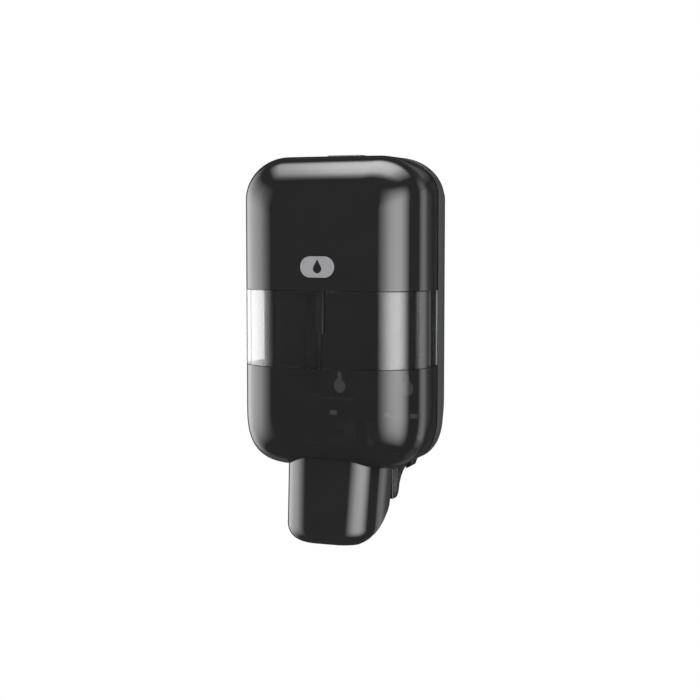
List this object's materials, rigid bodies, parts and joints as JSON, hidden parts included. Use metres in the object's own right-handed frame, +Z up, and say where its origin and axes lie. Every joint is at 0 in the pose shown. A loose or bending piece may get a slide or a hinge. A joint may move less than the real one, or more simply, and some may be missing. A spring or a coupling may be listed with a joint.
{
  "type": "wall mounted soap dispenser",
  "caption": "Push-lever liquid soap dispenser for a wall, with a deep hinged black cover, a clear level window band and a locking top key.",
  "frame": {"origin": "on the wall face, halfway between the two keyholes", "axes": "+Y into the wall, out of the back of the housing; +Z up, the long way; +X to the right as seen from the front"},
  "size_m": [0.112, 0.0926, 0.2263],
  "materials": {
    "gloss_black": "high gloss moulded black",
    "matt_black": "fine texture moulded black",
    "smoked_clear": "polished dark smoked clear plastic",
    "clear_window": "polished clear plastic",
    "silver_print": "satin silver grey emblem",
    "natural_acetal": "natural white acetal",
    "steel": "bright drawn steel",
    "seal_rubber": "matt black rubber"
  },
  "bodies": {
    "housing": {"rear_housing": "matt_black", "refill_cradle": "matt_black", "cradle_screw_1": "steel", "cradle_screw_2": "steel", "cradle_screw_3": "steel", "cradle_screw_4": "steel", "neck_collar": "natural_acetal", "pump_body": "natural_acetal", "pump_nozzle": "natural_acetal", "outlet_valve": "seal_rubber", "inlet_ball": "steel", "pump_guard": "matt_black", "plunger_spring": "steel", "lock_guide": "matt_black", "lock_spring": "steel", "hinge_pin_left": "steel", "hinge_pin_right": "steel"},
    "cover": {"cover_upper": "gloss_black", "cover_window": "clear_window", "cover_lower": "smoked_clear", "cover_badge": "silver_print", "cover_catch": "matt_black", "lever_bracket_left": "matt_black", "lever_bracket_right": "matt_black", "lever_pin": "steel", "lever_spring": "steel"},
    "lever": {"push_lever": "gloss_black", "lever_frame": "matt_black", "pusher_roller": "natural_acetal"},
    "plunger": {"pump_plunger": "natural_acetal", "plunger_seal": "seal_rubber"},
    "lock": {"lock_button": "gloss_black", "lock_latch": "steel"}
  },
  "joints": [
    {"name": "cover_hinge", "type": "hinge", "parent": "housing", "child": "cover", "pos_m": [0, -0.0395, -0.036], "axis": [1, 0, 0], "range_deg": [0, 55]},
    {"name": "lever_push", "type": "hinge", "parent": "cover", "child": "lever", "pos_m": [0, -0.072, 0], "axis": [1, 0, 0], "range_deg": [0, 12], "stiffness_Nm_per_rad": 0.3, "springref_deg": -17.19, "deforming": ["lever_spring"]},
    {"name": "plunger_slide", "type": "slide", "parent": "housing", "child": "plunger", "axis": [0, 1, 0], "range_m": [0, 0.0065], "stiffness_N_per_m": 150, "springref_m": -0.006, "deforming": ["plunger_spring"]},
    {"name": "lock_press", "type": "slide", "parent": "housing", "child": "lock", "axis": [0, 0, -1], "range_m": [0, 0.003], "stiffness_N_per_m": 400, "springref_m": -0.003, "deforming": ["lock_spring"]}
  ],
  "couplings": [
    {"joint": "plunger_slide", "follows": "lever_push", "m_per_rad": 0.0306}
  ]
}
